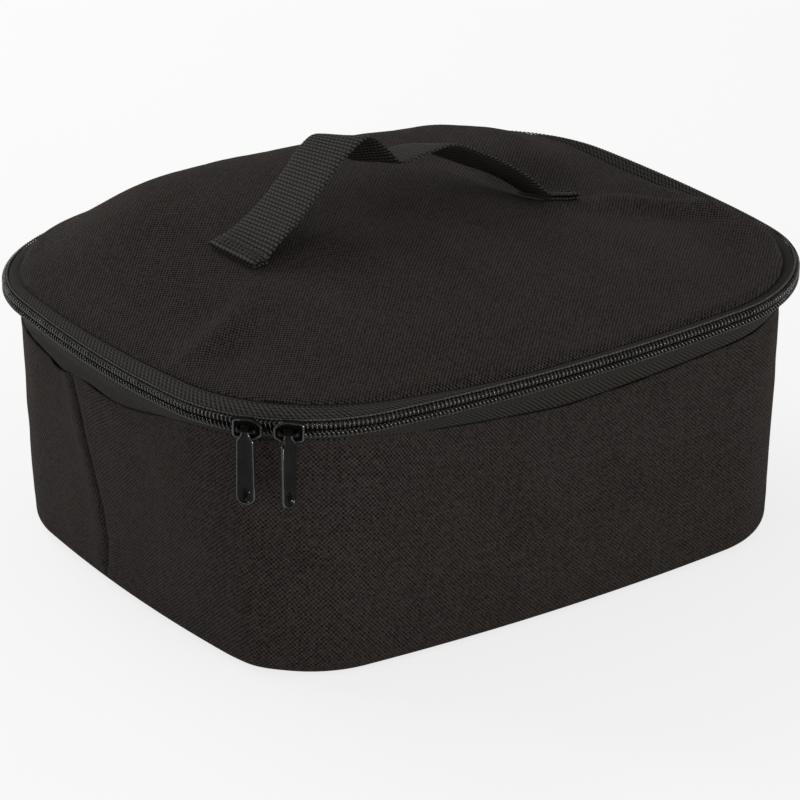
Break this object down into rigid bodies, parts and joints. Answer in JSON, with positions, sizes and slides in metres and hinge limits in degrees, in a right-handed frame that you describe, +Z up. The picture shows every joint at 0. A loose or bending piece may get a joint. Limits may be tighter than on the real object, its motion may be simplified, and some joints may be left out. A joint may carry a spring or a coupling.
{
  "type": "casserole carrier",
  "caption": "Padded fabric food carrier with tapered walls, a domed zip-round lid hinged at the back, a webbing top handle and paired sliders.",
  "frame": {"origin": "on the floor, under the middle of the bag's bounding box", "axes": "+X along the long side, to the right as the picture shows it; +Y back to the hinge; +Z up"},
  "size_m": [0.3756, 0.3045, 0.214],
  "materials": {
    "oxford": "basket-woven polyester, dark charcoal brown",
    "foam": "closed-cell foam sheet",
    "board": "plain polyethylene board",
    "lining": "silver-grey heat-seal film",
    "zip_tape": "woven tape, black",
    "zip_coil": "nylon coil, black",
    "binding": "ribbed binding tape, black",
    "webbing": "ribbed webbing, black",
    "enamel": "gloss black enamel"
  },
  "bodies": {
    "base": {"front_wall": "oxford", "back_wall": "oxford", "front_wall_foam": "foam", "back_wall_foam": "foam", "front_wall_lining": "lining", "back_wall_lining": "lining", "bottom_panel": "oxford", "bottom_board": "board", "bottom_foam": "foam", "bottom_lining": "lining", "bottom_binding": "binding", "rim_binding": "binding", "zip_tape_lower": "zip_tape", "zip_coil_lower": "zip_coil", "hinge_strip_lower": "oxford"},
    "lid": {"lid_panel": "oxford", "lid_foam": "foam", "lid_lining": "lining", "lid_binding": "binding", "zip_tape_upper": "zip_tape", "zip_coil_upper": "zip_coil", "hinge_strip_upper": "oxford", "handle_end_left": "webbing", "handle_end_right": "webbing"},
    "handle": {"handle_strap": "webbing"},
    "left_slider": {"slider_left": "enamel"},
    "right_slider": {"slider_right": "enamel"},
    "left_pull": {"pull_left": "enamel"},
    "right_pull": {"pull_right": "enamel"}
  },
  "joints": [
    {"name": "lid_hinge", "type": "hinge", "parent": "base", "child": "lid", "pos_m": [0, 0.1525, 0.138], "axis": [-1, 0, 0], "range_deg": [0, 175]},
    {"name": "handle_lift", "type": "slide", "parent": "lid", "child": "handle", "axis": [0, 0, 1], "range_m": [0, 0.025]},
    {"name": "left_slider_run", "type": "hinge", "parent": "base", "child": "left_slider", "pos_m": [-0.09729, -0.06043, 0.138], "axis": [0, 0, -1], "range_deg": [-1, 29]},
    {"name": "right_slider_run", "type": "hinge", "parent": "base", "child": "right_slider", "pos_m": [-0.09729, -0.06043, 0.138], "axis": [0, 0, 1], "range_deg": [-1, 32]},
    {"name": "left_pull_swing", "type": "hinge", "parent": "left_slider", "child": "left_pull", "pos_m": [-0.17054, -0.11643, 0.138], "axis": [-0.6074, 0.7944, 0], "range_deg": [-10, 190]},
    {"name": "right_pull_swing", "type": "hinge", "parent": "right_slider", "child": "right_pull", "pos_m": [-0.15607, -0.13147, 0.138], "axis": [-0.7705, 0.6374, 0], "range_deg": [-10, 190]}
  ]
}
